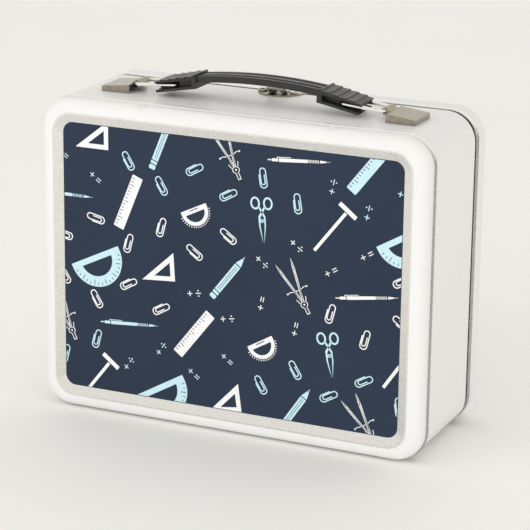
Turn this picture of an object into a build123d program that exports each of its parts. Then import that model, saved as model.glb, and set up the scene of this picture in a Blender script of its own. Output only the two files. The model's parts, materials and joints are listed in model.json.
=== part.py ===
from build123d import *
import math
import os

# Retro metal lunch box: a pressed front shell and a side band form the box, a
# pressed rear shell is the lid, hinged along the bottom rear seam and latched at
# the top. A moulded handle lifts on two wire loops that turn in folded brackets.
# Millimetres. Origin: middle of the footprint, on the surface the box stands on.
# +X to the right seen from the front, -Y to the front, +Z up.

# ---- driving dimensions: shells and seams ---------------------------------------
WIDTH = 228.0            # over the seam beads
HEIGHT = 178.0           # body only, over the seam beads
DEPTH = 92.0             # front face to lid face
SHEET = 0.8              # thickness of every pressed sheet
BEAD_PROUD = 0.6         # how far the beads stand out of the sheet faces
CORNER_R = 16.4          # outer corner of the shells, seen from the front
EDGE_R = 6.4             # rounded edge between a shell's side and its face

FRONT_SEAM_Y = -35.6     # middle of the front bead
REAR_SEAM_Y = 28.7       # middle of the lid bead
BEAD_WIDTH = 3.0
BEAD_ROUND = 1.2         # rounding of the bead's outer edges
BEAD_FLANGE = 0.4        # thin strip under the bead, inside the sheets
FLANGE_REACH = 6.0       # how far that strip reaches from the middle of the bead
FLANGE_LAP = 1.2         # and how far it laps under the front shell
BAND_REAR_Y = REAR_SEAM_Y - 4.5  # a slot is left before the lid bead
SEAM_GAP = 0.5           # slot between the front shell and the front bead

LIP_DROP = 1.7           # lip face under the sheets' outer face
LIP_REAR_Y = REAR_SEAM_Y + 2.5
LIP_LAP = 8.0            # how far the lip reaches forward inside the band
LIP_FOOT_Z = 7.0         # the lip's two legs end this far above the bottom
LIP_RIDGE_DROP = 0.5     # a ridge on the lip nearly fills the slot, down both sides
LIP_RIDGE_REAR_Y = REAR_SEAM_Y - 1.8

# ---- printed panel and its frame
PANEL_HALF_X = 99.7      # printed sheet
PANEL_HALF_Z = 75.6
PANEL_R = 6.0
PANEL_THICK = 0.6
PANEL_PLAY = 0.05
RECESS_DEPTH = 2.8       # rim to recess floor
BEVEL_WIDTH = 5.0        # recess wall, seen from the front
BEZEL_THICK = 0.9        # bezel, seen from the front

# ---- rivets, lugs and hinges
RIVET_R = 0.8
RIVET_HEAD_R = 1.6
RIVET_HEAD = 0.45
LUG_X = (-52.4, 58.0)    # rivets in the front shell's top edge
LUG_R = 2.3
LUG_TALL = 0.9
LUG_DEEP = 1.4
LUG_LEAN = 20.0          # degrees round the shell's rounded edge
HINGE_X = 62.0           # middle of each hinge
HINGE_Y = REAR_SEAM_Y - 0.3
HINGE_Z = 1.6
HINGE_RIVET_X = 12.0
BODY_RIVET_Y = REAR_SEAM_Y - 9.5
LID_RIVET_Y = REAR_SEAM_Y + 4.5
BODY_LEAF_Y = REAR_SEAM_Y - 14.5
LID_LEAF_Y = REAR_SEAM_Y + 6.3
LEAF_HALF = 17.5
LEAF_SETBACK = 2.2       # knuckle axis to the full-width part of a leaf
KNUCKLE_R = 1.5
KNUCKLE_LEN = 7.0
KNUCKLE_GAP = 0.15       # each end
KNUCKLES = 5
HINGE_PIN_R = 0.75
RUN_CLEAR = 0.06         # radial running clearance on pins

# ---- brackets, wire loops and handle
HANDLE_X = 2.8           # middle of the handle, a little to the right of the box's
HANDLE_Y = -7.6
BRACKET_IN = 75.4        # inner end of each bracket, from the middle of the handle
BRACKET_OUT = 92.2
BRACKET_WIDE = 21.4
BRACKET_TALL = 4.9       # at its inner end
BRACKET_LOW = 2.9        # at its outer end
BRACKET_SHEET = 0.7
TAB_HALF = 3.0           # clinched tabs
TAB_FOOT = 4.0
TUBE_X = 73.0            # rolled tube that holds a wire loop
TUBE_RISE = 4.8          # its axis over the top of the band
TUBE_R = 2.2
TUBE_HALF = 5.2
WIRE_R = 1.1
LOOP_LEG_Y = 6.8         # legs of the wire loop either side of the middle
LOOP_LENGTH = 24.0       # tube axis to the bent ends
LOOP_TILT = 4.5          # degrees above level at rest
LOOP_BEND = 1.6
LOOP_END = 3.3           # bent ends stop this far from the middle

GRIP_TOP = 15.2          # top of the strap at its middle, over the band
GRIP_SHOULDER_X = 36.9   # where the strap meets the end blocks
GRIP_SHOULDER = 12.8     # strap top there
GRIP_WIDE = 15.0
GRIP_PLATE = 2.2
GRIP_SKIRT = 3.4
GRIP_GROOVE = 0.7
END_WIDE = 18.0
END_TIP_X = 60.7
END_HIGH = 13.6          # end block's first ridge, over the band
END_LOW = 8.2            # and its tip
END_STEPS = 5
LIFT = 5.5               # how far the handle rises on its loops
WEB_HALF = 4.7           # middle web of an end block
SLOT_PLAY = 0.55         # play of the wire ends in the web's slot

# ---- latch
LATCH_Y = REAR_SEAM_Y - 7.5  # lever pivot
LATCH_Z = 3.0            # over the top of the band
LATCH_PIN_R = 0.8
PLATE = 0.8              # latch sheet
BASE_HALF_X = 13.2
BASE_REAR_Y = REAR_SEAM_Y - 4.7
BASE_DEPTH = 12.6
BASE_RIVET_X = 9.6
BASE_RIVET_Y = REAR_SEAM_Y - 8.5
EAR_IN = 2.4
EAR_OUT = 3.2
EAR_R = 2.0
CHEEK_IN = 3.5
CHEEK_OUT = 4.3
CHEEK_R = 1.9
LEVER_REACH = 7.8        # pivot to the lever's front lip
BAIL_X = 6.2
BAIL_R = 0.7
BAIL_BEND = 1.2
BAIL_DROP = 0.5          # bail pivot under the lever pivot
BAIL_BACK = 2.2          # and in front of it
BAR_Y = REAR_SEAM_Y + 4.8    # cross bar behind the catch
CATCH_HALF_X = 11.5
CATCH_FRONT_Y = REAR_SEAM_Y + 2.0
CATCH_REAR_Y = REAR_SEAM_Y + 6.4
CATCH_RIVET_X = 9.3
CATCH_RIVET_Y = REAR_SEAM_Y + 4.4
CATCH_LIP_HALF = 4.6

# ---- worked-out places ----------------------------------------------------------
HALF_X = WIDTH / 2 - BEAD_PROUD
HALF_Z = HEIGHT / 2 - BEAD_PROUD
MID_Z = HEIGHT / 2
TOP = HEIGHT - BEAD_PROUD        # top face of the band and shells
FRONT = -DEPTH / 2
REAR = DEPTH / 2
PIVOT_Z = TOP + LATCH_Z
TUBE_Z = TOP + TUBE_RISE
BAR_Z = TOP + PLATE + BAIL_R + 0.3
UNDER = BEAD_PROUD + SHEET       # inside face of the bottom sheet
TILT = math.radians(LOOP_TILT)
LIFTED = math.asin(math.sin(TILT) + LIFT / LOOP_LENGTH)


def ring_face(inset, y):
    """Rounded rectangle, inset from the shells' outer face, facing +Y at y."""
    plane = Plane(origin=(0, y, MID_Z), x_dir=(1, 0, 0), z_dir=(0, 1, 0))
    radius = CORNER_R - inset
    return plane * RectangleRounded(2 * (HALF_X - inset), 2 * (HALF_Z - inset), radius)


def slab(inset, y0, y1):
    """Solid rounded-rectangle block between two depths."""
    return extrude(ring_face(inset, y0), y1 - y0)


def rect_face(half_x, half_z, radius, y):
    plane = Plane(origin=(0, y, MID_Z), x_dir=(1, 0, 0), z_dir=(0, 1, 0))
    return plane * RectangleRounded(2 * half_x, 2 * half_z, radius)


def frustum(grow, y_wide, y_narrow, widen):
    """Recess-shaped block: the panel's outline plus grow, opening out by widen."""
    narrow = rect_face(PANEL_HALF_X + grow, PANEL_HALF_Z + grow, PANEL_R + grow, y_narrow)
    spread = grow + widen
    wide = rect_face(PANEL_HALF_X + spread, PANEL_HALF_Z + spread, PANEL_R + spread, y_wide)
    return loft([wide, narrow], ruled=True)


def block(x0, x1, y0, y1, z0, z1):
    box = Box(x1 - x0, y1 - y0, z1 - z0)
    return Pos((x0 + x1) / 2, (y0 + y1) / 2, (z0 + z1) / 2) * box


def rod_x(x0, x1, y, z, radius):
    rod = Cylinder(radius, x1 - x0, align=(Align.CENTER, Align.CENTER, Align.MIN))
    return Pos(x0, y, z) * Rot(0, 90, 0) * rod


def rod_y(x, y0, y1, z, radius):
    rod = Cylinder(radius, y1 - y0, align=(Align.CENTER, Align.CENTER, Align.MIN))
    return Pos(x, y0, z) * Rot(-90, 0, 0) * rod


def rod_z(x, y, z0, z1, radius):
    rod = Cylinder(radius, z1 - z0, align=(Align.CENTER, Align.CENTER, Align.MIN))
    return Pos(x, y, z0) * rod


def side_plate(points, y0, y1):
    """Plate with an outline in X and Z, extruded along Y."""
    plane = Plane(origin=(0, y0, 0), x_dir=(1, 0, 0), z_dir=(0, -1, 0))
    face = plane * make_face(Polyline(*points, close=True))
    return extrude(face, -(y1 - y0))


def cheek_plate(sketch, x0, x1):
    """Plate with an outline in Y and Z, extruded along X."""
    plane = Plane(origin=(x0, 0, 0), x_dir=(0, 1, 0), z_dir=(1, 0, 0))
    return extrude(plane * sketch, x1 - x0)


def face_edges(solid, y):
    return solid.edges().filter_by_position(Axis.Y, y - 0.01, y + 0.01)


def shell(seam_y, face_y, toward):
    """Pressed tray with rounded edges and a shallow recess in its face."""
    outer = slab(0, min(seam_y, face_y), max(seam_y, face_y))
    outer = fillet(face_edges(outer, face_y), EDGE_R)
    inner_face = face_y + toward * SHEET
    inner = slab(SHEET, min(seam_y, inner_face), max(seam_y, inner_face))
    inner = fillet(face_edges(inner, inner_face), EDGE_R - SHEET)
    floor = face_y + toward * RECESS_DEPTH
    recess = frustum(BEZEL_THICK * 0.6, face_y, floor, BEVEL_WIDTH)
    bulge = frustum(BEZEL_THICK * 0.6 + SHEET, inner_face, floor + toward * SHEET, BEVEL_WIDTH)
    return outer - recess - (inner - bulge)


def bead_ring(seam_y, flange_front, flange_rear):
    """Half-round bead with a thin strip that reaches under the sheets."""
    half = BEAD_WIDTH / 2
    bead = slab(-BEAD_PROUD, seam_y - half, seam_y + half)
    crown = face_edges(bead, seam_y - half) + face_edges(bead, seam_y + half)
    bead = fillet(crown, BEAD_ROUND)
    flange = slab(SHEET, flange_front, flange_rear)
    hollow = slab(SHEET + BEAD_FLANGE, flange_front, flange_rear)
    return bead + flange - hollow


# ---- box body ---------------------------------------------------------------------
def lug_rod(x, low, high):
    """Round bar square to the front shell's rounded top edge, heights from its skin."""
    lean = math.radians(LUG_LEAN)
    y = FRONT + EDGE_R - EDGE_R * math.sin(lean)
    z = TOP - EDGE_R + EDGE_R * math.cos(lean)
    place = Plane(origin=(x, y, z), x_dir=(1, 0, 0), z_dir=(0, -math.sin(lean), math.cos(lean)))
    rod = Cylinder(LUG_R, high - low, align=(Align.CENTER, Align.CENTER, Align.MIN))
    return place * Pos(0, 0, low) * rod


def hinge_centres():
    return (-HINGE_X, HINGE_X)


def hinge_rivet_places(y):
    return [(hx + dx, y) for hx in hinge_centres() for dx in (-HINGE_RIVET_X, HINGE_RIVET_X)]


def front_shell():
    body = shell(FRONT_SEAM_Y - BEAD_WIDTH / 2 - SEAM_GAP, FRONT, 1)
    for x in LUG_X:
        body -= lug_rod(x, -LUG_DEEP - 1, LUG_TALL + 1)
    return body


def front_lugs():
    """Two domed rivets through the front shell's top edge."""
    lugs = []
    for x in LUG_X:
        lug = lug_rod(x, -LUG_DEEP, LUG_TALL)
        lugs.append(fillet(lug.edges().group_by(Axis.Z)[-1], LUG_TALL * 0.9))
    return lugs


def panel_bezel():
    """Satin frame that lies on the recess wall, round the printed sheet."""
    floor = FRONT + RECESS_DEPTH
    panel_face = floor - PANEL_THICK
    outer = frustum(BEZEL_THICK * 0.6, FRONT, floor, BEVEL_WIDTH)
    well = rect_face(PANEL_HALF_X, PANEL_HALF_Z, PANEL_R, panel_face)
    inner = frustum(0, FRONT, panel_face, BEVEL_WIDTH - BEZEL_THICK * 0.4)
    return outer - inner - extrude(well, PANEL_THICK)


def printed_panel():
    back = FRONT + RECESS_DEPTH
    half_x = PANEL_HALF_X - PANEL_PLAY
    half_z = PANEL_HALF_Z - PANEL_PLAY
    return extrude(rect_face(half_x, half_z, PANEL_R, back - PANEL_THICK), PANEL_THICK)


def front_seam_bead():
    """Bead over the front seam; its strip joins the front shell to the band."""
    front = FRONT_SEAM_Y - BEAD_WIDTH / 2 - SEAM_GAP - FLANGE_LAP
    return bead_ring(FRONT_SEAM_Y, front, FRONT_SEAM_Y + FLANGE_REACH)


def tab_walls():
    """Depth range of each bracket wall, front one first, with the way inwards."""
    reach = BRACKET_WIDE / 2
    return [(HANDLE_Y - reach, HANDLE_Y - reach + BRACKET_SHEET, 1),
            (HANDLE_Y + reach - BRACKET_SHEET, HANDLE_Y + reach, -1)]


def tab_span(side):
    x_mid = side * (BRACKET_IN + BRACKET_OUT) / 2
    return x_mid - TAB_HALF, x_mid + TAB_HALF


def bracket_tabs(side):
    """The two clinched tabs of one handle bracket: through the band, then inwards."""
    tabs = []
    x0, x1 = tab_span(side)
    foot_top = TOP - SHEET
    foot_low = foot_top - BRACKET_SHEET
    for y0, y1, inwards in tab_walls():
        leg = block(x0, x1, y0, y1, foot_low, TOP)
        foot_y = (y1, y1 + TAB_FOOT) if inwards > 0 else (y0 - TAB_FOOT, y0)
        foot = block(x0, x1, min(foot_y[0], y0), max(foot_y[1], y1), foot_low, foot_top)
        tabs.append(leg + foot)
    return tabs[0] + tabs[1]


def body_band():
    """Side band, open front and rear, with the holes its fittings need."""
    front = FRONT_SEAM_Y + BEAD_WIDTH / 2
    band = slab(0, front, BAND_REAR_Y) - slab(SHEET, front, BAND_REAR_Y)
    for side in (-1, 1):
        x0, x1 = tab_span(side)
        for y0, y1, inwards in tab_walls():
            band -= block(HANDLE_X + x0, HANDLE_X + x1, y0, y1, TOP - 2, TOP + 1)
    for x, y in hinge_rivet_places(BODY_RIVET_Y):
        band -= rod_z(x, y, 0, 3, RIVET_R)
    for x in (-BASE_RIVET_X, BASE_RIVET_X):
        band -= rod_z(x, BASE_RIVET_Y, TOP - 2, TOP + 1, RIVET_R)
    return band


def inner_lip():
    """Dark lip welded inside the band's rear edge; it closes the lid seam."""
    front = BAND_REAR_Y - LIP_LAP
    foot = slab(SHEET, front, BAND_REAR_Y - 0.5)
    step = slab(LIP_DROP, BAND_REAR_Y - 1.5, LIP_REAR_Y)
    lip = foot + step - slab(LIP_DROP + SHEET, front, LIP_REAR_Y)
    ridge = slab(LIP_RIDGE_DROP, BAND_REAR_Y, LIP_RIDGE_REAR_Y)
    ridge -= slab(LIP_DROP + SHEET, BAND_REAR_Y, LIP_RIDGE_REAR_Y)
    straight = HALF_X - CORNER_R
    lip += ridge - block(-straight, straight, 0, REAR, -1, HEIGHT)
    lip -= block(-WIDTH, WIDTH, 0, REAR, -1, LIP_FOOT_Z)
    for x in (-BASE_RIVET_X, BASE_RIVET_X):
        lip -= rod_z(x, BASE_RIVET_Y, TOP - 6, TOP + 1, RIVET_HEAD_R + 0.5)
    return lip


# ---- lid -----------------------------------------------------------------------------
def hinge_notch(hx, y0, y1, z1):
    return block(hx - LEAF_HALF - 0.5, hx + LEAF_HALF + 0.5, y0, y1, -1, z1)


def lid_shell():
    lid = shell(REAR_SEAM_Y + BEAD_WIDTH / 2, REAR, -1)
    for x, y in hinge_rivet_places(LID_RIVET_Y):
        lid -= rod_z(x, y, 0, 3, RIVET_R)
    for x in (-CATCH_RIVET_X, CATCH_RIVET_X):
        lid -= rod_z(x, CATCH_RIVET_Y, TOP - 2, TOP + 1, RIVET_R)
    return lid


def lid_bead():
    """Bead round the lid's opening edge, notched where the hinges sit."""
    front = REAR_SEAM_Y - BEAD_WIDTH / 2
    bead = bead_ring(REAR_SEAM_Y, front, REAR_SEAM_Y + FLANGE_REACH + 0.3)
    for hx in hinge_centres():
        bead -= hinge_notch(hx, front - 1, REAR_SEAM_Y + FLANGE_REACH + 1, HINGE_Z + 2)
    for x in (-CATCH_RIVET_X, CATCH_RIVET_X):
        bead -= rod_z(x, CATCH_RIVET_Y, TOP - 3, TOP + 1, RIVET_HEAD_R + 0.2)
    return bead


def knuckle_spans(hx, first):
    """X range of every second knuckle of one hinge barrel, from the first one on."""
    start = hx - KNUCKLES * KNUCKLE_LEN / 2
    return [(start + k * KNUCKLE_LEN + KNUCKLE_GAP, start + (k + 1) * KNUCKLE_LEN - KNUCKLE_GAP)
            for k in range(first, KNUCKLES, 2)]


def hinge_leaf(hx, first, y_far, rivet_y):
    """Leaf on the inside of the bottom sheet, rolled into its knuckles."""
    toward = 1 if y_far > HINGE_Y else -1
    near = HINGE_Y + toward * LEAF_SETBACK
    leaf = block(hx - LEAF_HALF, hx + LEAF_HALF, min(near, y_far), max(near, y_far),
                 UNDER, UNDER + SHEET)
    for x0, x1 in knuckle_spans(hx, first):
        leaf += block(x0, x1, min(HINGE_Y, near), max(HINGE_Y, near), UNDER, UNDER + SHEET)
        leaf += rod_x(x0, x1, HINGE_Y, HINGE_Z, KNUCKLE_R)
    leaf -= rod_x(hx - WIDTH, hx + WIDTH, HINGE_Y, HINGE_Z, HINGE_PIN_R + RUN_CLEAR)
    for dx in (-HINGE_RIVET_X, HINGE_RIVET_X):
        leaf -= rod_z(hx + dx, rivet_y, 0, 4, RIVET_R)
    return leaf


def body_hinge_leaves():
    return [hinge_leaf(hx, 0, BODY_LEAF_Y, BODY_RIVET_Y) for hx in hinge_centres()]


def lid_hinge_leaves():
    return [hinge_leaf(hx, 1, LID_LEAF_Y, LID_RIVET_Y) for hx in hinge_centres()]


def hinge_pins():
    half = KNUCKLES * KNUCKLE_LEN / 2 + 0.4
    pins = []
    for hx in hinge_centres():
        pins.append(rod_x(hx - half, hx + half, HINGE_Y, HINGE_Z, HINGE_PIN_R))
    return pins


def bottom_rivet(x, y):
    """Small rivet through the bottom sheet and a hinge leaf."""
    leaf_top = UNDER + SHEET
    head = rod_z(x, y, BEAD_PROUD - RIVET_HEAD, BEAD_PROUD, RIVET_HEAD_R)
    shank = rod_z(x, y, BEAD_PROUD - 0.1, leaf_top + 0.1, RIVET_R)
    tail = rod_z(x, y, leaf_top, leaf_top + RIVET_HEAD, RIVET_HEAD_R - 0.2)
    return head + shank + tail


def top_rivet(x, y, plate, head_r, head_h):
    """Domed rivet through a plate on the top sheet, clinched underneath."""
    seat = TOP + plate
    head = rod_z(x, y, seat, seat + head_h, head_r)
    head = fillet(head.edges().group_by(Axis.Z)[-1], head_h * 0.8)
    shank = rod_z(x, y, TOP - SHEET - 0.1, seat + 0.1, RIVET_R)
    tail = rod_z(x, y, TOP - SHEET - 0.4, TOP - SHEET, RIVET_HEAD_R)
    return head + shank + tail


# ---- latch ---------------------------------------------------------------------------
def latch_base():
    """Lens-shaped plate on the band with two ears for the lever's pin."""
    radius = (BASE_HALF_X ** 2 + BASE_DEPTH ** 2) / (2 * BASE_DEPTH)
    disc = rod_z(0, BASE_REAR_Y - BASE_DEPTH + radius, TOP, TOP + PLATE, radius)
    plate = disc & block(-WIDTH, WIDTH, FRONT, BASE_REAR_Y, TOP, TOP + PLATE)
    for side in (-1, 1):
        x0 = min(side * EAR_IN, side * EAR_OUT)
        x1 = max(side * EAR_IN, side * EAR_OUT)
        ear = rod_x(x0, x1, LATCH_Y, PIVOT_Z, EAR_R)
        ear += block(x0, x1, LATCH_Y - EAR_R, LATCH_Y + EAR_R, TOP + PLATE - 0.1, PIVOT_Z)
        plate += ear
    plate -= rod_x(-10, 10, LATCH_Y, PIVOT_Z, LATCH_PIN_R)
    for x in (-BASE_RIVET_X, BASE_RIVET_X):
        plate -= rod_z(x, BASE_RIVET_Y, TOP - 1, TOP + 3, RIVET_R)
    return plate


def latch_pivot_pin():
    return rod_x(-CHEEK_OUT - 0.5, CHEEK_OUT + 0.5, LATCH_Y, PIVOT_Z, LATCH_PIN_R)


def latch_base_rivets():
    """An eyelet on the left and a domed rivet on the right of the base plate."""
    eyelet = top_rivet(-BASE_RIVET_X, BASE_RIVET_Y, PLATE, 2.6, 1.1)
    eyelet -= rod_z(-BASE_RIVET_X, BASE_RIVET_Y, TOP + PLATE + 0.3, TOP + 4, 1.3)
    dome = top_rivet(BASE_RIVET_X, BASE_RIVET_Y, PLATE, 2.0, 0.9)
    return [eyelet, dome]


def latch_lever():
    """Folded lever: two cheeks on the pin and a thumb plate across their front."""
    tip = LEVER_REACH
    cheek = Pos(LATCH_Y, PIVOT_Z) * Circle(CHEEK_R)
    low = -1.6
    high = 1.3
    arm = make_face(Polyline((0, -CHEEK_R), (-tip + 2.5, low), (-tip + 0.8, high - 0.8),
                             (-tip + 0.8, high), (0, CHEEK_R), close=True))
    outline = cheek + Pos(LATCH_Y, PIVOT_Z) * arm
    lever = cheek_plate(outline, CHEEK_IN, CHEEK_OUT)
    lever += cheek_plate(outline, -CHEEK_OUT, -CHEEK_IN)
    thumb_front = LATCH_Y - tip
    thumb_rear = LATCH_Y - 2.9
    z1 = PIVOT_Z + high
    thumb = block(-CHEEK_OUT, CHEEK_OUT, thumb_front, thumb_rear, z1 - PLATE, z1)
    lip = rod_x(-CHEEK_OUT, CHEEK_OUT, thumb_front, z1 - PLATE / 2, 0.75)
    lever += thumb + lip
    lever -= rod_x(-10, 10, LATCH_Y, PIVOT_Z, LATCH_PIN_R + RUN_CLEAR)
    lever -= rod_x(-10, 10, LATCH_Y - BAIL_BACK, PIVOT_Z - BAIL_DROP, BAIL_R + RUN_CLEAR)
    return lever


def latch_bail():
    """Wire bail: bent ends in the lever, cross bar behind the catch."""
    y0 = LATCH_Y - BAIL_BACK
    z0 = PIVOT_Z - BAIL_DROP
    end = CHEEK_IN + 0.1
    points = [(-end, y0, z0), (-BAIL_X, y0, z0), (-BAIL_X, BAR_Y, BAR_Z),
              (BAIL_X, BAR_Y, BAR_Z), (BAIL_X, y0, z0), (end, y0, z0)]
    return wire_sweep(points, BAIL_BEND, BAIL_R)


def latch_catch():
    """Plate on the lid's top with an upright lip that the bail's bar pulls on."""
    plate = block(-CATCH_HALF_X, CATCH_HALF_X, CATCH_FRONT_Y, CATCH_REAR_Y, TOP, TOP + PLATE)
    plate = fillet(plate.edges().filter_by(Axis.Z), 1.6)
    foot_z = TOP + PLATE - 0.1
    outline = [(CATCH_FRONT_Y + 0.4, foot_z), (CATCH_FRONT_Y + 1.3, foot_z),
               (CATCH_FRONT_Y + 1.85, TOP + 3.0), (CATCH_FRONT_Y + 1.0, TOP + 3.2)]
    lip = cheek_plate(make_face(Polyline(*outline, close=True)), -CATCH_LIP_HALF, CATCH_LIP_HALF)
    plate += lip
    for x in (-CATCH_RIVET_X, CATCH_RIVET_X):
        plate -= rod_z(x, CATCH_RIVET_Y, TOP - 1, TOP + 2, RIVET_R)
    return plate


# ---- handle -----------------------------------------------------------------------------
def wire_sweep(points, bend, radius):
    """Round wire along straight runs with equal bends."""
    path = FilletPolyline(*points, radius=bend)
    start = Vector(*points[0])
    along = Vector(*points[1]) - start
    profile = Plane(origin=start, z_dir=along) * Circle(radius)
    return sweep(profile, path=path)


def handle_bracket(side):
    """Folded wedge, open at its inner end, whose top curls into a tube."""
    half = BRACKET_WIDE / 2
    wall = BRACKET_SHEET
    x_in = side * BRACKET_IN
    x_out = side * BRACKET_OUT
    outer = [(x_in, TOP), (x_out, TOP), (x_out, TOP + BRACKET_LOW), (x_in, TOP + BRACKET_TALL)]
    hollow_out = side * (BRACKET_OUT - wall)
    x_open = side * (BRACKET_IN - 1)
    slope = (BRACKET_TALL - BRACKET_LOW) / (BRACKET_OUT - BRACKET_IN)
    hollow = [(x_open, TOP - 1), (hollow_out, TOP - 1),
              (hollow_out, TOP + BRACKET_LOW + slope * wall - wall),
              (x_open, TOP + BRACKET_TALL + slope - wall)]
    y0 = HANDLE_Y - half
    y1 = HANDLE_Y + half
    wedge = side_plate(outer, y0, y1)
    wedge = fillet(wedge.edges().group_by(Axis.Z)[-1].filter_by(Axis.Y), 0.5)
    wedge -= side_plate(hollow, y0 + wall, y1 - wall)
    tube = rod_y(side * TUBE_X, HANDLE_Y - TUBE_HALF, HANDLE_Y + TUBE_HALF, TUBE_Z, TUBE_R)
    root_x = side * (BRACKET_IN + 1.2)
    root_z = TOP + BRACKET_TALL - 0.2
    crown_z = TUBE_Z + TUBE_R - 0.1
    belly_z = TUBE_Z - TUBE_R + 0.4
    tongue = [(root_x, root_z - wall), (root_x, root_z), (side * (TUBE_X + 0.6), crown_z),
              (side * TUBE_X, crown_z), (side * TUBE_X, belly_z),
              (side * (TUBE_X + 1.0), belly_z)]
    neck = side_plate(tongue, HANDLE_Y - TUBE_HALF, HANDLE_Y + TUBE_HALF)
    bracket = wedge + tube + neck + bracket_tabs(side)
    bore = rod_y(side * TUBE_X, FRONT, REAR, TUBE_Z, WIRE_R + RUN_CLEAR)
    return Pos(HANDLE_X, 0, 0) * (bracket - bore)


def loop_end_place():
    """Where the bent wire ends lie at rest, from the middle of the handle."""
    return TUBE_X - LOOP_LENGTH * math.cos(TILT), TUBE_Z + LOOP_LENGTH * math.sin(TILT)


def wire_loop(side):
    """Loop of wire through the bracket's tube, its ends bent into the handle."""
    x_end, z_end = loop_end_place()
    x_tube = side * TUBE_X
    x_tip = side * x_end
    leg = LOOP_LEG_Y
    points = [(x_tip, HANDLE_Y - LOOP_END, z_end), (x_tip, HANDLE_Y - leg, z_end),
              (x_tube, HANDLE_Y - leg, TUBE_Z), (x_tube, HANDLE_Y + leg, TUBE_Z),
              (x_tip, HANDLE_Y + leg, z_end), (x_tip, HANDLE_Y + LOOP_END, z_end)]
    return Pos(HANDLE_X, 0, 0) * wire_sweep(points, LOOP_BEND, WIRE_R)


def grip_strap():
    """Arched channel with raised ribs along its top."""
    rise = GRIP_TOP - GRIP_SHOULDER
    radius = (GRIP_SHOULDER_X ** 2 + rise ** 2) / (2 * rise)
    span = math.degrees(math.asin((GRIP_SHOULDER_X + 1.0) / radius))
    top = TOP + GRIP_TOP
    half = GRIP_WIDE / 2
    low = top - GRIP_GROOVE
    inner = half - 1.8
    outline = [(-half, top - GRIP_SKIRT), (-half, top - 1.0), (-half + 1.0, top), (-4.7, top),
               (-4.2, low), (-2.2, low), (-1.7, top), (1.7, top),
               (2.2, low), (4.2, low), (4.7, top), (half - 1.0, top),
               (half, top - 1.0), (half, top - GRIP_SKIRT), (inner, top - GRIP_SKIRT),
               (inner, top - GRIP_PLATE), (-inner, top - GRIP_PLATE), (-inner, top - GRIP_SKIRT)]
    points = [(0, HANDLE_Y + y, z) for y, z in outline]
    profile = make_face(Polyline(*points, close=True))
    centre = Axis((0, HANDLE_Y, top - radius), (0, 1, 0))
    right = revolve(profile, axis=centre, revolution_arc=span)
    return right + mirror(right, Plane.YZ)


def leg_groove():
    """Room above the end block's floor for the wire legs with the handle lifted."""
    z_rest = loop_end_place()[1]
    x_lifted = TUBE_X - LOOP_LENGTH * math.cos(LIFTED)
    under = WIRE_R / math.cos(LIFTED) + 0.4
    x0 = 50.0
    x1 = END_TIP_X + 3.0
    z0 = z_rest - math.tan(LIFTED) * (x0 - x_lifted) - under
    z1 = z_rest - math.tan(LIFTED) * (x1 - x_lifted) - under
    outline = [(x0, z0), (x1, z1), (x1, z_rest), (x0, z_rest + 0.6)]
    half = WIRE_R + 0.4
    groove = side_plate(outline, HANDLE_Y + LOOP_LEG_Y - half, HANDLE_Y + LOOP_LEG_Y + half)
    return groove + side_plate(outline, HANDLE_Y - LOOP_LEG_Y - half, HANDLE_Y - LOOP_LEG_Y + half)


def web_slot():
    """Pocket on each side of the web where a bent wire end slides."""
    x_end, z_end = loop_end_place()
    slide = TUBE_X - LOOP_LENGTH * math.cos(LIFTED) - x_end
    tall = WIRE_R + SLOT_PLAY
    x0 = x_end - tall
    x1 = x_end + slide + tall
    z0 = z_end - tall
    z1 = z_end + tall
    wide = END_WIDE / 2
    core = LOOP_END - 0.4
    pocket = block(x0, x1, HANDLE_Y - wide, HANDLE_Y + wide, z0, z1)
    return pocket - block(x0, x1, HANDLE_Y - core, HANDLE_Y + core, z0, z1)


def grip_end():
    """Right end block: stepped top plate, sloping floor, end wall and slotted web."""
    x_in = GRIP_SHOULDER_X
    high = TOP + END_HIGH
    low = TOP + END_LOW
    step_x = (END_TIP_X - x_in) / END_STEPS
    step_z = (high - low) / END_STEPS
    ridge = 1.1
    drop = 0.75
    points = [(x_in, TOP + 11.0)]
    for k in range(END_STEPS):
        x0 = x_in + k * step_x
        z0 = high - k * step_z
        points += [(x0, z0), (x0 + ridge, z0), (x0 + ridge + 0.4, z0 - drop)]
    points += [(END_TIP_X, low - 0.3), (END_TIP_X, TOP + 7.0)]
    y0 = HANDLE_Y - END_WIDE / 2
    y1 = HANDLE_Y + END_WIDE / 2
    top = side_plate(points, y0, y1)
    floor = side_plate([(x_in - 1.5, TOP + 6.4), (59.3, TOP + 2.0), (60.0, TOP + 3.3),
                        (x_in - 1.5, TOP + 8.0)], y0, y1)
    wall = side_plate([(x_in - 1.5, TOP + 6.4), (x_in + 1.4, TOP + 6.4),
                       (x_in + 1.4, high - 1.0), (x_in, high - 1.0),
                       (x_in - 1.5, TOP + 11.0)], y0, y1)
    web = side_plate([(x_in, TOP + 7.0), (58.8, TOP + 2.8), (58.8, TOP + 7.6),
                      (x_in, TOP + 12.0)], HANDLE_Y - WEB_HALF, HANDLE_Y + WEB_HALF)
    return top + wall + (floor - leg_groove()) + (web - web_slot())


def handle_grip():
    end = grip_end()
    return Pos(HANDLE_X, 0, 0) * (grip_strap() + end + mirror(end, Plane.YZ))


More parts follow.
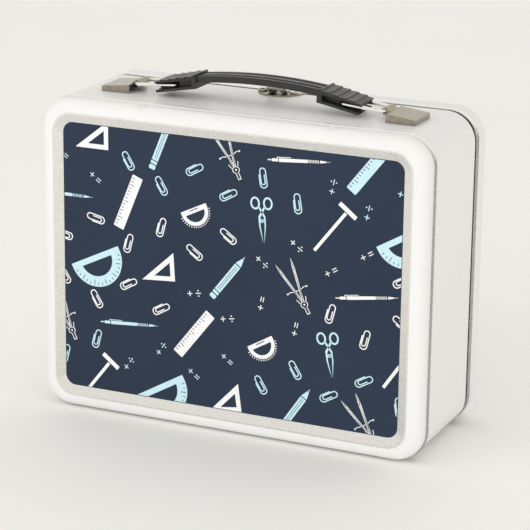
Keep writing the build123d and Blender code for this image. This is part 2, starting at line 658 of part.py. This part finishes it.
# ---- build and write ------------------------------------------------------------------------
PARTS = {
    "front_shell": front_shell(),
    "front_lugs": front_lugs(),
    "panel_bezel": panel_bezel(),
    "printed_panel": printed_panel(),
    "front_seam_bead": front_seam_bead(),
    "body_band": body_band(),
    "inner_lip": inner_lip(),
    "body_hinge_leaves": body_hinge_leaves(),
    "body_hinge_rivets": [bottom_rivet(x, y) for x, y in hinge_rivet_places(BODY_RIVET_Y)],
    "hinge_pins": hinge_pins(),
    "left_handle_bracket": handle_bracket(-1),
    "right_handle_bracket": handle_bracket(1),
    "latch_base": latch_base(),
    "latch_base_rivets": latch_base_rivets(),
    "latch_pivot_pin": latch_pivot_pin(),
    "lid_shell": lid_shell(),
    "lid_bead": lid_bead(),
    "lid_hinge_leaves": lid_hinge_leaves(),
    "lid_hinge_rivets": [bottom_rivet(x, y) for x, y in hinge_rivet_places(LID_RIVET_Y)],
    "latch_catch": latch_catch(),
    "latch_catch_rivets": [top_rivet(x, CATCH_RIVET_Y, PLATE, 1.7, 0.7)
                           for x in (-CATCH_RIVET_X, CATCH_RIVET_X)],
    "handle_grip": handle_grip(),
    "left_wire_loop": wire_loop(-1),
    "right_wire_loop": wire_loop(1),
    "latch_lever": latch_lever(),
    "latch_bail": latch_bail(),
}

os.makedirs("parts", exist_ok=True)
for name, shape in PARTS.items():
    if isinstance(shape, list):
        shape = Compound(children=[Compound(children=s.solids()) if len(s.solids()) > 1
                                   else s.solids()[0] for s in shape])
    export_step(shape, f"parts/{name}.step")
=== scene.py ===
import json
import math
import bmesh
import bpy
from mathutils import Matrix, Vector
from mathutils.geometry import tessellate_polygon


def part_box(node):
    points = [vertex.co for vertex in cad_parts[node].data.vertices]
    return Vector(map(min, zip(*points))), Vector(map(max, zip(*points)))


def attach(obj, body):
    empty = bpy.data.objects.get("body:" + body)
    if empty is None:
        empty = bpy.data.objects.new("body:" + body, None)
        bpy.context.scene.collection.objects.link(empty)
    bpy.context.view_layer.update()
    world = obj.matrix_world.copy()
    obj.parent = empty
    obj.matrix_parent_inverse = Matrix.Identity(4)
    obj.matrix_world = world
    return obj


# Retro metal lunch box: white enamelled shells, a navy panel printed with generic
# drafting tools, nickel fittings, wire loops and a ribbed plastic handle.

MM = 0.001
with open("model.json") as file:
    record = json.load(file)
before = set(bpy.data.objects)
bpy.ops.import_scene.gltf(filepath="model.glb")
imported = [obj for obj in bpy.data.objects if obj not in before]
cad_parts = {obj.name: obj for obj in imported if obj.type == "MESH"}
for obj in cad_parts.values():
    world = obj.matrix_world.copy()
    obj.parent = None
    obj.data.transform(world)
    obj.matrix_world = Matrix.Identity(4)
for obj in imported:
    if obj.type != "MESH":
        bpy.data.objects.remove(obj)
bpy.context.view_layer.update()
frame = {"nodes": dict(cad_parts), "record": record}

# ---- scene settings and camera ------------------------------------------------------
scene = bpy.context.scene
scene.view_settings.view_transform = "Standard"
scene.view_settings.look = "None"
scene.view_settings.exposure = 0.0

YAW = 24.262             # camera round to the right of the front, degrees
PITCH = 16.744           # and above it
ROLL = -0.709
CAMERA_PLACE = Vector((0.5148, -1.1375, 0.4601))
FOCAL = 160.1


def add_camera():
    data = bpy.data.cameras.new("camera")
    data.lens = FOCAL
    data.sensor_width = 36.0
    data.clip_start = 0.05
    data.clip_end = 30.0
    cam = bpy.data.objects.new("camera", data)
    scene.collection.objects.link(cam)
    yaw, pitch, roll = (math.radians(v) for v in (YAW, PITCH, ROLL))
    back = Vector((math.sin(yaw) * math.cos(pitch), -math.cos(yaw) * math.cos(pitch),
                   math.sin(pitch)))
    right = Vector((math.cos(yaw), math.sin(yaw), 0.0))
    up = back.cross(right)
    turned_right = math.cos(roll) * right - math.sin(roll) * up
    turned_up = math.sin(roll) * right + math.cos(roll) * up
    cam.matrix_world = Matrix((
        (turned_right.x, turned_up.x, back.x, CAMERA_PLACE.x),
        (turned_right.y, turned_up.y, back.y, CAMERA_PLACE.y),
        (turned_right.z, turned_up.z, back.z, CAMERA_PLACE.z),
        (0, 0, 0, 1)))
    scene.camera = cam


add_camera()


# ---- materials ----------------------------------------------------------------------------
class Nodes:
    """Short hand for building a node material."""

    def __init__(self, name):
        self.material = bpy.data.materials.new(name)
        self.material.use_nodes = True
        self.tree = self.material.node_tree
        self.tree.nodes.clear()
        self.shader = self.tree.nodes.new("ShaderNodeBsdfPrincipled")
        out = self.tree.nodes.new("ShaderNodeOutputMaterial")
        self.tree.links.new(self.shader.outputs[0], out.inputs[0])
        outputs = self.tree.nodes.new("ShaderNodeTexCoord").outputs
        self.coords = outputs["Object"]
        self.normal = outputs["Normal"]

    def link(self, a, b):
        self.tree.links.new(a, b)

    def set(self, **values):
        for name, value in values.items():
            self.shader.inputs[name.replace("_", " ")].default_value = value

    def scaled(self, scale):
        node = self.tree.nodes.new("ShaderNodeMapping")
        node.inputs["Scale"].default_value = scale
        self.link(self.coords, node.inputs["Vector"])
        return node.outputs["Vector"]

    def noise(self, scale, detail=4.0, rough=0.5, vector=None):
        node = self.tree.nodes.new("ShaderNodeTexNoise")
        node.inputs["Scale"].default_value = scale
        node.inputs["Detail"].default_value = detail
        node.inputs["Roughness"].default_value = rough
        self.link(vector or self.coords, node.inputs["Vector"])
        return node.outputs["Fac"]

    def cells(self, scale):
        node = self.tree.nodes.new("ShaderNodeTexVoronoi")
        node.inputs["Scale"].default_value = scale
        self.link(self.coords, node.inputs["Vector"])
        return node.outputs["Color"]

    def grey(self, color):
        node = self.tree.nodes.new("ShaderNodeSeparateColor")
        self.link(color, node.inputs["Color"])
        return node.outputs[0]

    def upward(self):
        """How far a surface faces up in its own object's frame."""
        node = self.tree.nodes.new("ShaderNodeSeparateXYZ")
        self.link(self.normal, node.inputs["Vector"])
        return node.outputs["Z"]

    def openness(self, reach):
        """1 on open surfaces, falling towards 0 in hollows."""
        node = self.tree.nodes.new("ShaderNodeAmbientOcclusion")
        node.samples = 8
        node.inputs["Distance"].default_value = reach
        return node.outputs["AO"]

    def span(self, value, low, high, to_low, to_high):
        node = self.tree.nodes.new("ShaderNodeMapRange")
        node.inputs["From Min"].default_value = low
        node.inputs["From Max"].default_value = high
        node.inputs["To Min"].default_value = to_low
        node.inputs["To Max"].default_value = to_high
        self.link(value, node.inputs["Value"])
        return node.outputs["Result"]

    def ramp(self, value, stops):
        node = self.tree.nodes.new("ShaderNodeValToRGB")
        band = node.color_ramp
        while len(band.elements) < len(stops):
            band.elements.new(0.5)
        for element, (place, color) in zip(band.elements, stops):
            element.position = place
            element.color = (*color, 1.0)
        self.link(value, node.inputs["Fac"])
        return node.outputs["Color"]

    def blend(self, share, a, b):
        node = self.tree.nodes.new("ShaderNodeMix")
        node.data_type = "RGBA"
        self.fill(share, node.inputs[0])
        self.fill(a, node.inputs[6])
        self.fill(b, node.inputs[7])
        return node.outputs[2]

    def fill(self, value, socket):
        if isinstance(value, bpy.types.NodeSocket):
            self.link(value, socket)
        elif isinstance(value, tuple):
            socket.default_value = (*value, 1.0)
        else:
            socket.default_value = value

    def base(self, color):
        self.link(color, self.shader.inputs["Base Color"])

    def rough(self, value):
        self.link(value, self.shader.inputs["Roughness"])

    def bump(self, height, strength, distance):
        node = self.tree.nodes.new("ShaderNodeBump")
        node.inputs["Strength"].default_value = strength
        node.inputs["Distance"].default_value = distance
        self.link(height, node.inputs["Height"])
        self.link(node.outputs["Normal"], self.shader.inputs["Normal"])
        return self


def enamel():
    """Baked gloss enamel: fine orange peel, faint tone drift and a few specks."""
    n = Nodes("enamel_white")
    n.set(Roughness=0.3, IOR=1.5, Specular_IOR_Level=0.32, Coat_Weight=0.06, Coat_Roughness=0.12)
    drift = n.noise(9.0, 3.0)
    tone = n.ramp(drift, [(0.35, (0.785, 0.786, 0.788)), (0.65, (0.808, 0.809, 0.810))])
    specks = n.noise(900.0, 2.0, 0.7)
    mask = n.span(specks, 0.72, 0.78, 0.0, 0.10)
    n.base(n.blend(mask, tone, (0.55, 0.55, 0.54)))
    smears = n.noise(38.0, 4.0, 0.6)
    n.rough(n.span(smears, 0.3, 0.75, 0.29, 0.34))
    peel = n.noise(260.0, 2.0, 0.4)
    return n.bump(peel, 0.10, 0.0004).material


def bezel():
    """Satin metal frame with the fine glitter of bare tin plate."""
    n = Nodes("bezel_satin")
    n.set(Metallic=0.85, Roughness=0.3)
    grain = n.noise(2600.0, 2.0, 0.7)
    spark = n.grey(n.cells(1500.0))
    tone = n.ramp(grain, [(0.3, (0.70, 0.69, 0.66)), (0.7, (0.88, 0.87, 0.84))])
    n.base(n.blend(n.span(spark, 0.80, 1.0, 0.0, 0.45), tone, (0.98, 0.97, 0.95)))
    n.rough(n.span(spark, 0.0, 1.0, 0.24, 0.40))
    return n.bump(grain, 0.22, 0.00010).material


def navy():
    """Printed sheet: deep navy with a slight weave of print and soft clouding."""
    n = Nodes("panel_navy")
    n.set(Roughness=0.42, IOR=1.45, Specular_IOR_Level=0.25)
    cloud = n.noise(14.0, 3.0)
    base = n.ramp(cloud, [(0.3, (0.0150, 0.0265, 0.0520)), (0.7, (0.0195, 0.0330, 0.0620))])
    dots = n.noise(2200.0, 2.0, 0.8)
    n.base(n.blend(n.span(dots, 0.35, 0.75, 0.0, 0.30), base, (0.030, 0.046, 0.076)))
    n.rough(n.span(n.noise(70.0), 0.3, 0.7, 0.36, 0.48))
    return n.bump(n.noise(1200.0, 2.0), 0.08, 0.0001).material


def ink(name, light, dark):
    """Screen-printed ink with a dry, slightly uneven lay-down."""
    n = Nodes(name)
    n.set(Roughness=0.5, Specular_IOR_Level=0.35)
    lay = n.noise(850.0, 3.0, 0.65)
    n.base(n.ramp(lay, [(0.28, dark), (0.48, light)]))
    n.rough(n.span(n.noise(300.0), 0.3, 0.7, 0.42, 0.58))
    return n.bump(lay, 0.10, 0.00004).material


SCRATCH_SCALE = 700.0    # noise cells per metre
PAINTED_SHADE_REACH = 0.006      # metres to the walls of a hollow that gets painted shade
# near-black colour of the painted shade in hollows and where parts meet
PAINTED_SHADE = (0.018, 0.016, 0.012)


def metal(name, low, high, rough, stretch, scratch=0.10, pitted=0.35, painted_top_highlight=None, painted_shade=0.0):
    """Plated or drawn metal with fine directional scratches, small dark pits, a painted
    highlight (a lighter colour) where it faces up, and painted shade darkening its hollows."""
    n = Nodes(name)
    n.set(Metallic=1.0, Roughness=0.3)
    lines = n.noise(SCRATCH_SCALE, 3.0, 0.6, n.scaled(stretch))
    tone = n.ramp(lines, [(0.3, low), (0.7, high)])
    # painted highlight: the colour turns lighter where the surface faces up
    if painted_top_highlight:
        tone = n.blend(n.span(n.upward(), 0.15, 0.6, 0.0, 1.0), tone, painted_top_highlight)
    pits = n.noise(650.0, 3.0, 0.7)
    dulled = tuple(c * 0.5 for c in low)
    tone = n.blend(n.span(pits, 0.68, 0.78, 0.0, pitted), tone, dulled)
    # painted shade: darker towards near-black in hollows and where parts meet
    if painted_shade:
        tone = n.blend(n.span(n.openness(PAINTED_SHADE_REACH), 0.15, 0.62, painted_shade, 0.0), tone, PAINTED_SHADE)
    n.base(tone)
    n.rough(n.span(n.noise(160.0, 4.0), 0.3, 0.7, rough * 0.85, rough * 1.2))
    return n.bump(lines, scratch, 0.00004).material


def lip_painted_shade():
    """Near-black painted shade on the inner lip seen in the seam gaps, slightly uneven."""
    n = Nodes("lip_dark")
    n.set(Roughness=0.6, Specular_IOR_Level=0.2)
    n.base(n.ramp(n.noise(220.0, 4.0), [(0.3, (0.005, 0.005, 0.006)), (0.7, (0.012, 0.012, 0.013))]))
    return n.bump(n.noise(600.0), 0.15, 0.0001).material


def moulded():
    """Charcoal moulded plastic with a fine spark-eroded grain and light dust specks."""
    n = Nodes("handle_plastic")
    n.set(Roughness=0.35, Specular_IOR_Level=0.5)
    wear = n.noise(120.0, 4.0, 0.6)
    base = n.ramp(wear, [(0.35, (0.012, 0.013, 0.013)), (0.70, (0.020, 0.020, 0.019))])
    dust = n.noise(1500.0, 2.0, 0.8)
    n.base(n.blend(n.span(dust, 0.60, 0.78, 0.0, 0.25), base, (0.12, 0.115, 0.10)))
    n.rough(n.span(wear, 0.3, 0.7, 0.26, 0.42))
    grain = n.noise(1900.0, 2.0, 0.6)
    return n.bump(grain, 0.22, 0.00008).material


LOOKS = {
    "enamel_white": enamel(),
    "bezel_satin": bezel(),
    "panel_print": navy(),
    # bead_metal: its top is painted near-white as a painted highlight
    "bead_metal": metal("bead_metal", (0.36, 0.36, 0.35), (0.50, 0.50, 0.49), 0.26,
                        (1.0, 1.0, 1.0), 0.06, pitted=0.12, painted_top_highlight=(0.97, 0.97, 0.96)),
    # the inner lip is near-black as painted shade in the seam gaps
    "lip_dark": lip_painted_shade(),
    "hinge_steel": metal("hinge_steel", (0.42, 0.42, 0.41), (0.62, 0.62, 0.60), 0.32, (1, 6, 1)),
    # nickel: its hollows and joins get painted shade
    "nickel": metal("nickel", (0.31, 0.285, 0.23), (0.45, 0.41, 0.33), 0.19, (1, 8, 1), 0.08,
                    painted_shade=0.95),
    "wire_steel": metal("wire_steel", (0.88, 0.87, 0.83), (0.98, 0.97, 0.94), 0.12,
                        (0.6, 5, 5), pitted=0.15),
    "handle_plastic": moulded(),
}

for part in frame["record"]["subparts"]:
    node = frame["nodes"][part["node"]]
    node.data.materials.clear()
    node.data.materials.append(LOOKS[part["material_slot"]])


# ---- flat drawing helpers, in millimetres -------------------------------------------------
def arc(x, y, rx, ry, start, end, steps=16):
    """Points along an ellipse arc, angles in degrees."""
    turn = [math.radians(start + (end - start) * k / steps) for k in range(steps + 1)]
    return [(x + rx * math.cos(t), y + ry * math.sin(t)) for t in turn]


def band(points, width, closed=False):
    """Outline loops of a stroke of even width along a line."""
    pts = [Vector(p) for p in points]
    count = len(pts)
    left, right = [], []
    for i, p in enumerate(pts):
        before = pts[i - 1] if (i or closed) else None
        after = pts[(i + 1) % count] if (i < count - 1 or closed) else None
        ways = [(p - before).normalized()] if before is not None else []
        ways += [(after - p).normalized()] if after is not None else []
        along = sum(ways, Vector((0.0, 0.0)))
        along = along.normalized() if along.length > 1e-6 else ways[0]
        lean = max(0.45, along.dot(ways[0]))
        side = Vector((-along.y, along.x)) * (width / 2 / lean)
        left.append(tuple(p + side))
        right.append(tuple(p - side))
    if closed:
        return [left, right]
    return [left + right[::-1]]


def box_loop(x0, x1, y0, y1):
    return [(x0, y0), (x1, y0), (x1, y1), (x0, y1)]


def soft_box(x0, x1, y0, y1, r):
    loop = arc(x1 - r, y1 - r, r, r, 0, 90, 4) + arc(x0 + r, y1 - r, r, r, 90, 180, 4)
    return loop + arc(x0 + r, y0 + r, r, r, 180, 270, 4) + arc(x1 - r, y0 + r, r, r, 270, 360, 4)


def disc(x, y, r, steps=18):
    return arc(x, y, r, r, 0, 360, steps)[:-1]


# ---- the drawings: each returns areas, an area being an outline and its holes ------------------
def paper_clip():
    wire = [(-2.0, 2.0)] + arc(0, -3.5, 2.0, 1.9, 180, 360) + arc(0.35, 3.6, 1.65, 1.7, 0, 180)
    wire += arc(-0.15, -2.5, 1.15, 1.1, 180, 360, 10) + [(1.0, 1.8)]
    return [band(wire, 0.62)]


def t_square():
    return [[box_loop(-0.9, 0.9, -16.0, 12.4)], [soft_box(-6.0, 6.0, 12.9, 15.4, 0.4)]]


def slim_pen():
    areas = [[[(-0.85, -5.6), (0.85, -5.6), (1.0, 11.0), (-1.0, 11.0)]],
             [soft_box(-0.8, 0.8, 11.5, 15.0, 0.3)], [box_loop(-0.3, 0.3, 15.3, 17.4)],
             [[(-0.75, -12.6), (0.75, -12.6), (0.3, -16.0), (-0.3, -16.0)]],
             [[(-0.12, -16.1), (0.12, -16.1), (0.08, -18.2), (-0.08, -18.2)]],
             [[(1.35, 4.0), (1.7, 4.0), (1.7, 12.0), (1.0, 12.0), (1.0, 11.4), (1.35, 11.4)]]]
    for k in range(7):
        y = -12.0 + 0.9 * k
        areas.append([[(-0.8, y), (0.8, y + 0.3), (0.8, y + 0.75), (-0.8, y + 0.45)]])
    return areas


def pencil():
    edges = [box_loop(-0.7, -0.4, -9.0, 8.5), box_loop(0.4, 0.7, -9.0, 8.5)]
    return [[soft_box(-1.9, 1.9, -10.0, 9.5, 0.2)] + edges,
            [[(-1.9, 10.1), (1.9, 10.1), (0.5, 14.6), (-0.5, 14.6)]],
            [[(-0.4, 15.0), (0.4, 15.0), (0.0, 16.6)]],
            [box_loop(-1.9, 1.9, -12.2, -10.6)], [soft_box(-1.9, 1.9, -15.4, -12.8, 0.8)]]


def ruler():
    """Straight rule with a cut-out tick every two millimetres, longer at each fifth."""
    ticks = []
    for k in range(15):
        y = 2.0 * k - 14.0
        ticks.append(box_loop(-2.7, -2.7 + (2.8 if k % 5 == 2 else 1.6), y - 0.2, y + 0.2))
    return [[soft_box(-3.2, 3.2, -16.0, 16.0, 0.5)] + ticks]


def set_square():
    return [[[(-7.0, -8.0), (9.0, -8.0), (-7.0, 12.0)], [(-4.4, -5.4), (3.4, -5.4), (-4.4, 4.4)]]]


def scissors():
    areas = [band(arc(9.2, 3.7, 3.0, 2.3, 0, 360, 22)[:-1], 1.0, True),
             band(arc(9.2, -3.7, 3.0, 2.3, 0, 360, 22)[:-1], 1.0, True)]
    areas.append([[(-12.6, 0.1), (-3.0, 1.2), (1.4, 1.0), (7.0, -2.2), (7.4, -1.2), (2.0, 2.2),
                   (-3.4, 2.0)]])
    areas.append([[(-12.6, -0.5), (-3.0, -1.2), (1.4, -1.0), (7.0, 2.2), (7.4, 1.2), (2.0, -1.9),
                   (-3.4, -1.9)]])
    areas.append([disc(-0.4, 0.1, 1.0), disc(-0.4, 0.1, 0.45, 10)])
    return areas


def compass():
    w = 0.42
    areas = [band([(-0.8, 11.8), (-0.8, 15.4), (0.8, 15.4), (0.8, 11.8)], w, True),
             band(arc(0, 10.0, 2.0, 1.8, 0, 360, 20)[:-1], w, True), [disc(0, 10.0, 0.55, 10)]]
    for s in (-1, 1):
        areas.append(band([(s * 0.7, 8.4), (s * 4.6, -10.6), (s * 4.9, -15.4), (s * 3.6, -11.0),
                           (s * 0.2, 6.8)], w, True))
        areas.append(band([(s * 1.5, 4.2), (s * 3.9, -9.0)], w))
        areas.append([disc(s * 4.2, -10.6, 0.7, 10)])
        areas.append(band([(s * 2.0, 8.6), (s * 3.0, 6.0)], w))
    areas.append(band([(-6.0, 1.4)] + arc(0, 0.9, 4.4, 0.9, 170, 10, 8) + [(6.0, 1.4)], w))
    areas.append([disc(-6.2, 1.4, 0.55, 8)])
    areas.append([disc(6.2, 1.4, 0.55, 8)])
    return areas


def small_protractor():
    outline = arc(0, 0, 8.2, 8.2, 0, 180, 24) + [(-8.2, -1.9), (8.2, -1.9)]
    window = arc(0, 0, 6.1, 6.1, 8, 172, 20)
    areas = [[outline, window, band([(-2.8, -0.9), (2.8, -0.9)], 0.5)[0]]]
    for k in range(19):
        t = math.radians(9.0 * k + 9)
        c, s = math.cos(t), math.sin(t)
        areas.append(band([(8.6 * c, 8.6 * s), (9.4 * c, 9.4 * s)], 0.5))
    return areas


def large_protractor():
    """Plain half-round protractor: a flat rim with cut-out ticks, and an open middle."""
    rim = arc(0, 0, 16.0, 16.0, 0, 180, 40) + [(-16.0, -2.2), (16.0, -2.2)]
    window = arc(0, 0, 10.0, 10.0, 6, 174, 28)
    ticks = []
    for k in range(1, 18):
        t = math.radians(10.0 * k)
        c, s = math.cos(t), math.sin(t)
        inner = 12.2 if k % 3 == 0 else 13.6
        ticks.append(band([(inner * c, inner * s), (15.2 * c, 15.2 * s)], 0.4)[0])
    return [[rim, window] + ticks]


def plus(x, y, s=1.5, w=0.5):
    across = [band([(x - s, y), (x - w / 2, y)], w), band([(x + w / 2, y), (x + s, y)], w)]
    return across + [band([(x, y - s), (x, y + s)], w)]


def divide(x, y, s=1.6, w=0.5):
    return [band([(x - s, y), (x + s, y)], w), [disc(x, y + 1.5, 0.42, 9)], [disc(x, y - 1.5, 0.42, 9)]]


def equals(x, y, s=1.4, w=0.5):
    return [band([(x - s, y + 0.7), (x + s, y + 0.7)], w), band([(x - s, y - 0.7), (x + s, y - 0.7)], w)]


def add_and_divide():
    return plus(-2.6, 0.0) + divide(2.6, 0.0)


def add_and_equals():
    return plus(-2.4, 0.0) + equals(2.4, 0.0)


# ---- layout on the panel: large drawings on a triangular lattice, small ones in its gaps ---------
WHITE, BLUE = "white", "blue"
LARGE = (pencil, large_protractor, scissors, ruler, compass, set_square, t_square,
         small_protractor, slim_pen)
SMALL = (paper_clip, add_and_divide, paper_clip, paper_clip, add_and_equals)
PITCH = 40.0
ROW_PITCH = PITCH * math.sqrt(3) / 2
SIXTH = 60.0             # long drawings point at a neighbour, clear of the gaps between
LEAN = 4.0               # and lean from that by up to twice this
SMALL_TURN = 23.0        # step from one small drawing's turn to another's


def layout():
    """Every drawing as its function, ink, x, height over the panel's middle, and turn."""
    spots = []
    for row in range(-3, 4):
        for col in range(-4, 4):
            x = PITCH * (col + 0.5 * (row % 2))
            z = ROW_PITCH * row
            pick = 2 * row + 4 * col
            turn = SIXTH * (pick % 6) - SIXTH / 2 + LEAN * ((3 * row + 2 * col) % 5 - 2)
            color = BLUE if (row + 2 * col) % 5 < 2 else WHITE
            spots.append((LARGE[pick % len(LARGE)], color, x, z, turn))
            for side in (1, -1):
                small = 2 * row + 3 * col + side
                color = BLUE if small % 3 == 0 else WHITE
                turn = SMALL_TURN * (small % 7) - SIXTH
                spots.append((SMALL[small % len(SMALL)], color, x + PITCH / 2,
                              z + side * ROW_PITCH / 3, turn))
    return spots


INK_PROUD = 0.04         # how far the ink stands out of the sheet
INK_SUNK = 0.01          # and how far it starts below the sheet's face
PRINT_MARGIN = 0.35      # bare edge round the print


def add_area(mesh, loops, x, z, turn, sheet_y):
    """Adds one flat area, turned and placed on the panel, to the ink mesh."""
    c, s = math.cos(math.radians(turn)), math.sin(math.radians(turn))
    placed = [[(x + px * c - py * s, z + px * s + py * c) for px, py in loop] for loop in loops]
    flat = [[Vector((px, pz, 0.0)) for px, pz in loop] for loop in placed]
    corners = [mesh.verts.new((px * MM, sheet_y, pz * MM)) for loop in placed for px, pz in loop]
    for tri in tessellate_polygon(flat):
        if len(set(tri)) == 3:
            mesh.faces.new([corners[i] for i in tri])


def printed_ink(name, which, material):
    """All the drawings of one colour, cut off at the print's edge, as one thin raised piece."""
    low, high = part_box("printed_panel")
    middle_z = (low.z + high.z) / 2
    mesh = bmesh.new()
    for draw, color, x, z, turn in layout():
        if color != which:
            continue
        for loops in draw():
            add_area(mesh, loops, x, z + middle_z / MM, turn, low.y + INK_SUNK * MM)
    margin = PRINT_MARGIN * MM
    cuts = (((low.x + margin, 0, 0), (-1, 0, 0)), ((high.x - margin, 0, 0), (1, 0, 0)),
            ((0, 0, low.z + margin), (0, 0, -1)), ((0, 0, high.z - margin), (0, 0, 1)))
    for place, outwards in cuts:
        whole = mesh.verts[:] + mesh.edges[:] + mesh.faces[:]
        bmesh.ops.bisect_plane(mesh, geom=whole, plane_co=place, plane_no=outwards, clear_outer=True)
    bmesh.ops.recalc_face_normals(mesh, faces=mesh.faces[:])
    for face in mesh.faces:
        if face.normal.y < 0:
            face.normal_flip()
    front = bmesh.ops.extrude_face_region(mesh, geom=mesh.faces[:])
    raised = [v for v in front["geom"] if isinstance(v, bmesh.types.BMVert)]
    bmesh.ops.translate(mesh, verts=raised, vec=(0, -(INK_PROUD + INK_SUNK) * MM, 0))
    bmesh.ops.recalc_face_normals(mesh, faces=mesh.faces[:])
    data = bpy.data.meshes.new(name)
    mesh.to_mesh(data)
    mesh.free()
    data.materials.append(material)
    piece = bpy.data.objects.new(name, data)
    scene.collection.objects.link(piece)
    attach(piece, "box_body")


printed_ink("ink_white", WHITE, ink("ink_white", (0.86, 0.87, 0.88), (0.66, 0.68, 0.71)))
printed_ink("ink_pale_blue", BLUE, ink("ink_pale_blue", (0.56, 0.78, 0.86), (0.44, 0.66, 0.75)))


# ---- floor and light -------------------------------------------------------------------------
FLOOR_REACH = 14.0       # metres to the sides and to the front
SWEEP_Y = 1.6            # where the floor starts to curve up
SWEEP_R = 0.9
SWEEP_STEPS = 12
SWEEP_TOP = 3.4
WORLD_LEVEL = 0.93
HORIZON = (0.97, 0.945, 0.90, 1.0)
ZENITH = (0.90, 0.89, 0.865, 1.0)


def add_floor():
    """Pale sweep: flat under the box, curving up far behind it."""
    mesh = bmesh.new()
    profile = [(-FLOOR_REACH, 0.0), (SWEEP_Y, 0.0)]
    for step in range(1, SWEEP_STEPS + 1):
        turn = step * math.pi / (2 * SWEEP_STEPS)
        profile.append((SWEEP_Y + SWEEP_R * math.sin(turn), SWEEP_R - SWEEP_R * math.cos(turn)))
    profile.append((SWEEP_Y + SWEEP_R, SWEEP_TOP))
    rows = [[mesh.verts.new((x, y, z)) for x in (-FLOOR_REACH, FLOOR_REACH)] for y, z in profile]
    for a, b in zip(rows, rows[1:]):
        mesh.faces.new((a[0], a[1], b[1], b[0]))
    data = bpy.data.meshes.new("floor")
    mesh.to_mesh(data)
    mesh.free()
    floor = bpy.data.objects.new("floor", data)
    scene.collection.objects.link(floor)
    for face in data.polygons:
        face.use_smooth = True
    n = Nodes("floor_paper")
    n.set(Roughness=0.75, Specular_IOR_Level=0.2)
    n.base(n.ramp(n.noise(3.0, 3.0), [(0.3, (0.915, 0.908, 0.890)), (0.7, (0.935, 0.928, 0.910))]))
    n.bump(n.noise(400.0, 3.0), 0.05, 0.0003)
    data.materials.append(n.material)


def area_light(name, place, target, width, height, watts, color):
    """Soft rectangular lamp at a place, facing a target, in metres and watts."""
    data = bpy.data.lights.new(name, "AREA")
    data.shape = "RECTANGLE"
    data.size = width
    data.size_y = height
    data.energy = watts
    data.color = color
    lamp = bpy.data.objects.new(name, data)
    scene.collection.objects.link(lamp)
    lamp.location = place
    way = Vector(target) - Vector(place)
    lamp.rotation_mode = "QUATERNION"
    lamp.rotation_quaternion = way.to_track_quat("-Z", "Y")
    return lamp


def add_world():
    """Studio surroundings: pale round the horizon, a shade darker overhead."""
    world = bpy.data.worlds.new("studio")
    scene.world = world
    world.use_nodes = True
    tree = world.node_tree
    back = tree.nodes["Background"]
    back.inputs["Strength"].default_value = WORLD_LEVEL
    coords = tree.nodes.new("ShaderNodeTexCoord")
    split = tree.nodes.new("ShaderNodeSeparateXYZ")
    ramp = tree.nodes.new("ShaderNodeValToRGB")
    ramp.color_ramp.elements[0].position = 0.3
    ramp.color_ramp.elements[0].color = HORIZON
    ramp.color_ramp.elements[1].position = 0.62
    ramp.color_ramp.elements[1].color = ZENITH
    tree.links.new(coords.outputs["Generated"], split.inputs["Vector"])
    tree.links.new(split.outputs["Z"], ramp.inputs["Fac"])
    tree.links.new(ramp.outputs["Color"], back.inputs["Color"])


add_floor()
add_world()
lamps = (
    area_light("key", (-1.1, -1.5, 1.15), (0, 0, 0.08), 1.1, 1.1, 5.0, (0.98, 0.99, 1.0)),
    area_light("front_fill", (0.5, -2.2, 0.3), (0, -0.1, 0.03), 1.8, 0.3, 13.0, (1.0, 0.99, 0.98)),
    area_light("right_fill", (2.4, -0.5, 0.4), (0, 0, 0.12), 1.2, 0.5, 4.0, (1.0, 0.99, 0.98)),
    area_light("back_top", (-0.2, 1.2, 1.7), (-0.15, 0.95, 0), 1.8, 0.9, 1.5, (1.0, 0.98, 0.95)),
)
for lamp in lamps:
    lamp.visible_glossy = False
